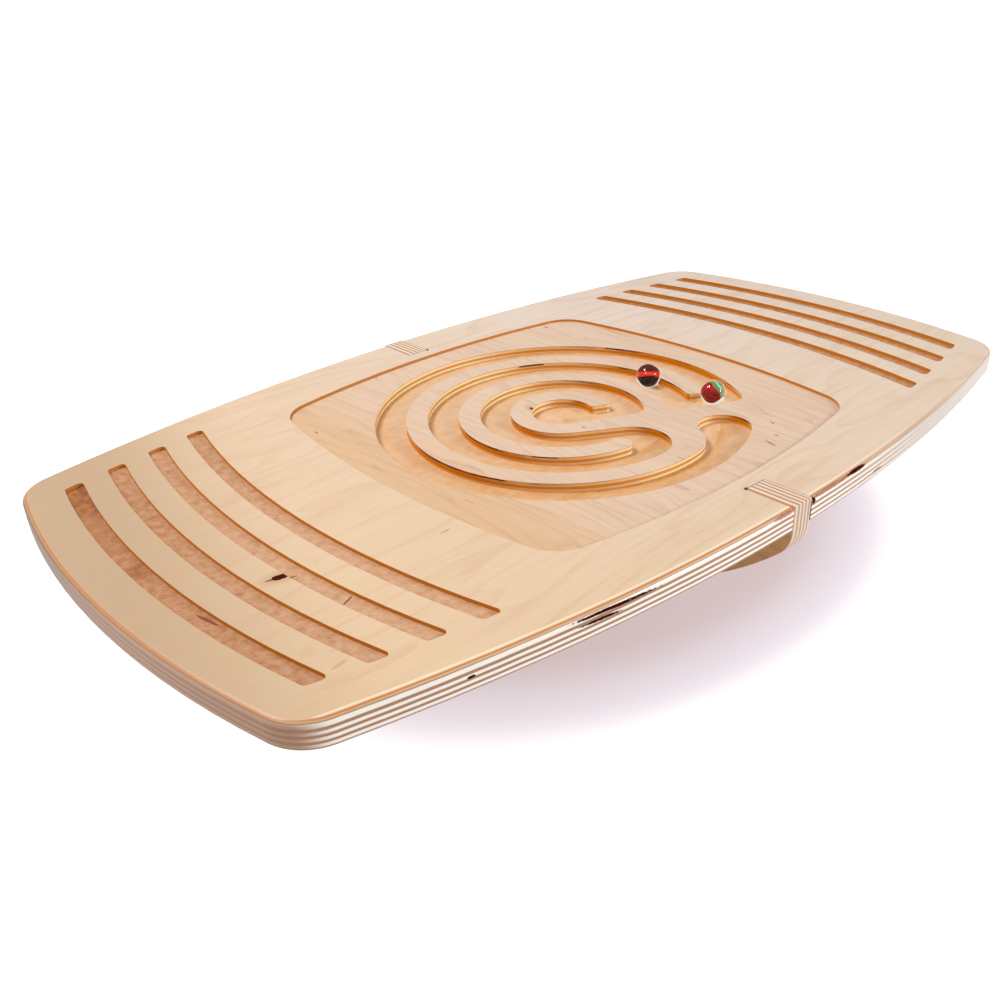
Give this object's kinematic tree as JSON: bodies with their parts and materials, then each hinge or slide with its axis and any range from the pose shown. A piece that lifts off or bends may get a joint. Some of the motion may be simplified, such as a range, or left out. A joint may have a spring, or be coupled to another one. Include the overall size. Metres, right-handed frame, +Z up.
{
  "type": "marble maze balance board",
  "caption": "Plywood balance board with a routed marble maze, curved foot grooves and a cross-wise rocker plate that it tips and rolls on.",
  "frame": {"origin": "on the floor, under the middle of the board, where the rocker plate stands", "axes": "+X along the board's length, +Y across it along the rocker plate, +Z up, square to the level deck"},
  "size_m": [0.5998, 0.35, 0.1053],
  "materials": {
    "deck_ply": "clear satin varnish on birch plywood",
    "rocker_ply": "clear satin varnish on birch plywood",
    "marble_glass": "clear polished glass",
    "marble_1_colour": "opaque dark red glass with an orange-red band",
    "marble_2_colour": "opaque deep red glass with green and teal streaks"
  },
  "bodies": {
    "board": {"deck": "deck_ply", "rocker": "rocker_ply"},
    "marble_1": {"marble_1_glass": "marble_glass", "marble_1_core": "marble_1_colour"},
    "marble_2": {"marble_2_glass": "marble_glass", "marble_2_core": "marble_2_colour"}
  },
  "joints": [
    {"name": "marble_1_roll", "type": "hinge", "parent": "board", "child": "marble_1", "pos_m": [0, 0, 0.0973], "axis": [0, 0, 1], "range_deg": [-18.5, 261]},
    {"name": "marble_2_roll", "type": "slide", "parent": "board", "child": "marble_2", "axis": [0.8805, -0.4741, 0], "range_m": [-0.0233, 0.0091]}
  ]
}
